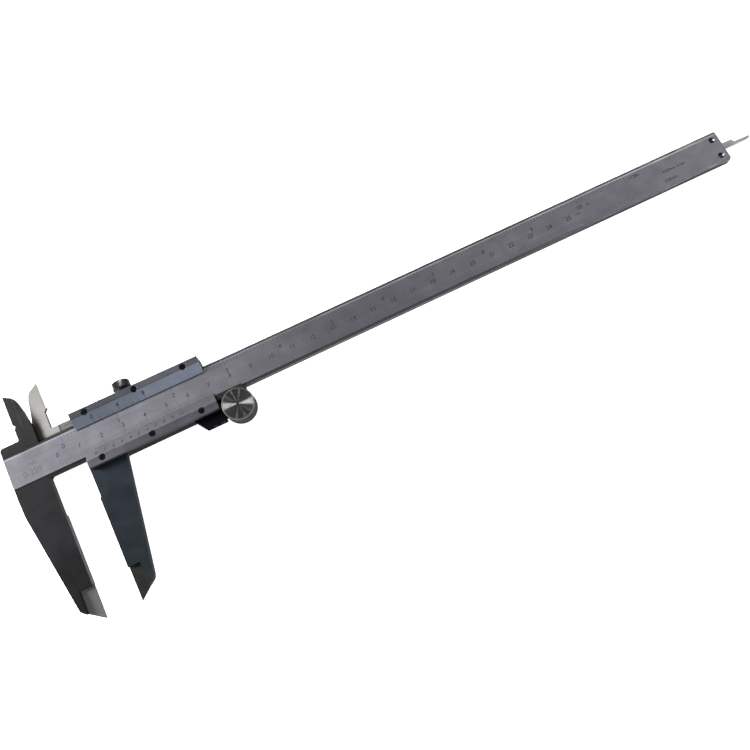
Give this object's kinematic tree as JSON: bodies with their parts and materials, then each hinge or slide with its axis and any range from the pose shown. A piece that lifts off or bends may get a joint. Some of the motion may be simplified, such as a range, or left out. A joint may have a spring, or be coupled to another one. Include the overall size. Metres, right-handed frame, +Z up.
{
  "type": "vernier caliper",
  "caption": "Slide caliper with outside and inside jaws, depth rod, metric and inch vernier scales, a clamping screw and a thumb roller that drives the slider.",
  "frame": {"origin": "under the middle of the whole tool, on the plane that it lies on, with the slider at its stored opening", "axes": "+X along the beam to its tail, +Y towards the inside jaws, +Z up, out of the graduated face"},
  "size_m": [0.372, 0.1062, 0.0106],
  "materials": {
    "beam_steel": "satin",
    "stop_plate": "satin",
    "screw_black": "satin",
    "slider_steel": "satin",
    "vernier_blue": "satin",
    "vernier_grey": "satin",
    "spring_bronze": "satin",
    "knurled_steel": "satin",
    "pad_brass": "satin",
    "roller_steel": "satin",
    "axle_steel": "satin",
    "bush_brass": "satin",
    "bracket_black": "satin",
    "rod_steel": "satin"
  },
  "bodies": {
    "beam": {"main_beam": "beam_steel", "end_stop_plate": "stop_plate", "end_stop_screws": "screw_black"},
    "slider": {"slider_frame": "slider_steel", "inch_vernier_plate": "vernier_blue", "mm_vernier_plate": "vernier_grey", "inch_plate_screws": "screw_black", "mm_plate_screws": "screw_black", "gib_strip": "spring_bronze", "gib_set_screws": "screw_black", "roller_bracket": "bracket_black", "bracket_screws": "screw_black", "roller_bush": "bush_brass", "depth_rod": "rod_steel", "depth_rod_rivets": "rod_steel"},
    "roller": {"drive_roller": "roller_steel", "thumb_disc": "roller_steel", "roller_axle": "axle_steel", "roller_washer": "axle_steel"},
    "pad": {"lock_pad": "pad_brass"},
    "screw": {"lock_screw": "knurled_steel"}
  },
  "joints": [
    {"name": "slider_travel", "type": "slide", "parent": "beam", "child": "slider", "axis": [1, 0, 0], "range_m": [-0.01569, 0.2343]},
    {"name": "roller_spin", "type": "hinge", "parent": "slider", "child": "roller", "pos_m": [-0.08575, 0.00405, 0.0064], "axis": [0, 0, 1], "range_deg": [-130, 1920]},
    {"name": "lock_feed", "type": "slide", "parent": "slider", "child": "pad", "axis": [0, 1, 0], "range_m": [-0.00026, 0.00051]},
    {"name": "lock_turn", "type": "hinge", "parent": "pad", "child": "screw", "pos_m": [-0.12905, 0.03305, 0.0044], "axis": [0, 1, 0], "range_deg": [-180, 360]}
  ],
  "couplings": [
    {"joint": "roller_spin", "follows": "slider_travel", "rad_per_m": 142.86},
    {"joint": "lock_feed", "follows": "lock_turn", "m_per_rad": 0.000079577}
  ]
}
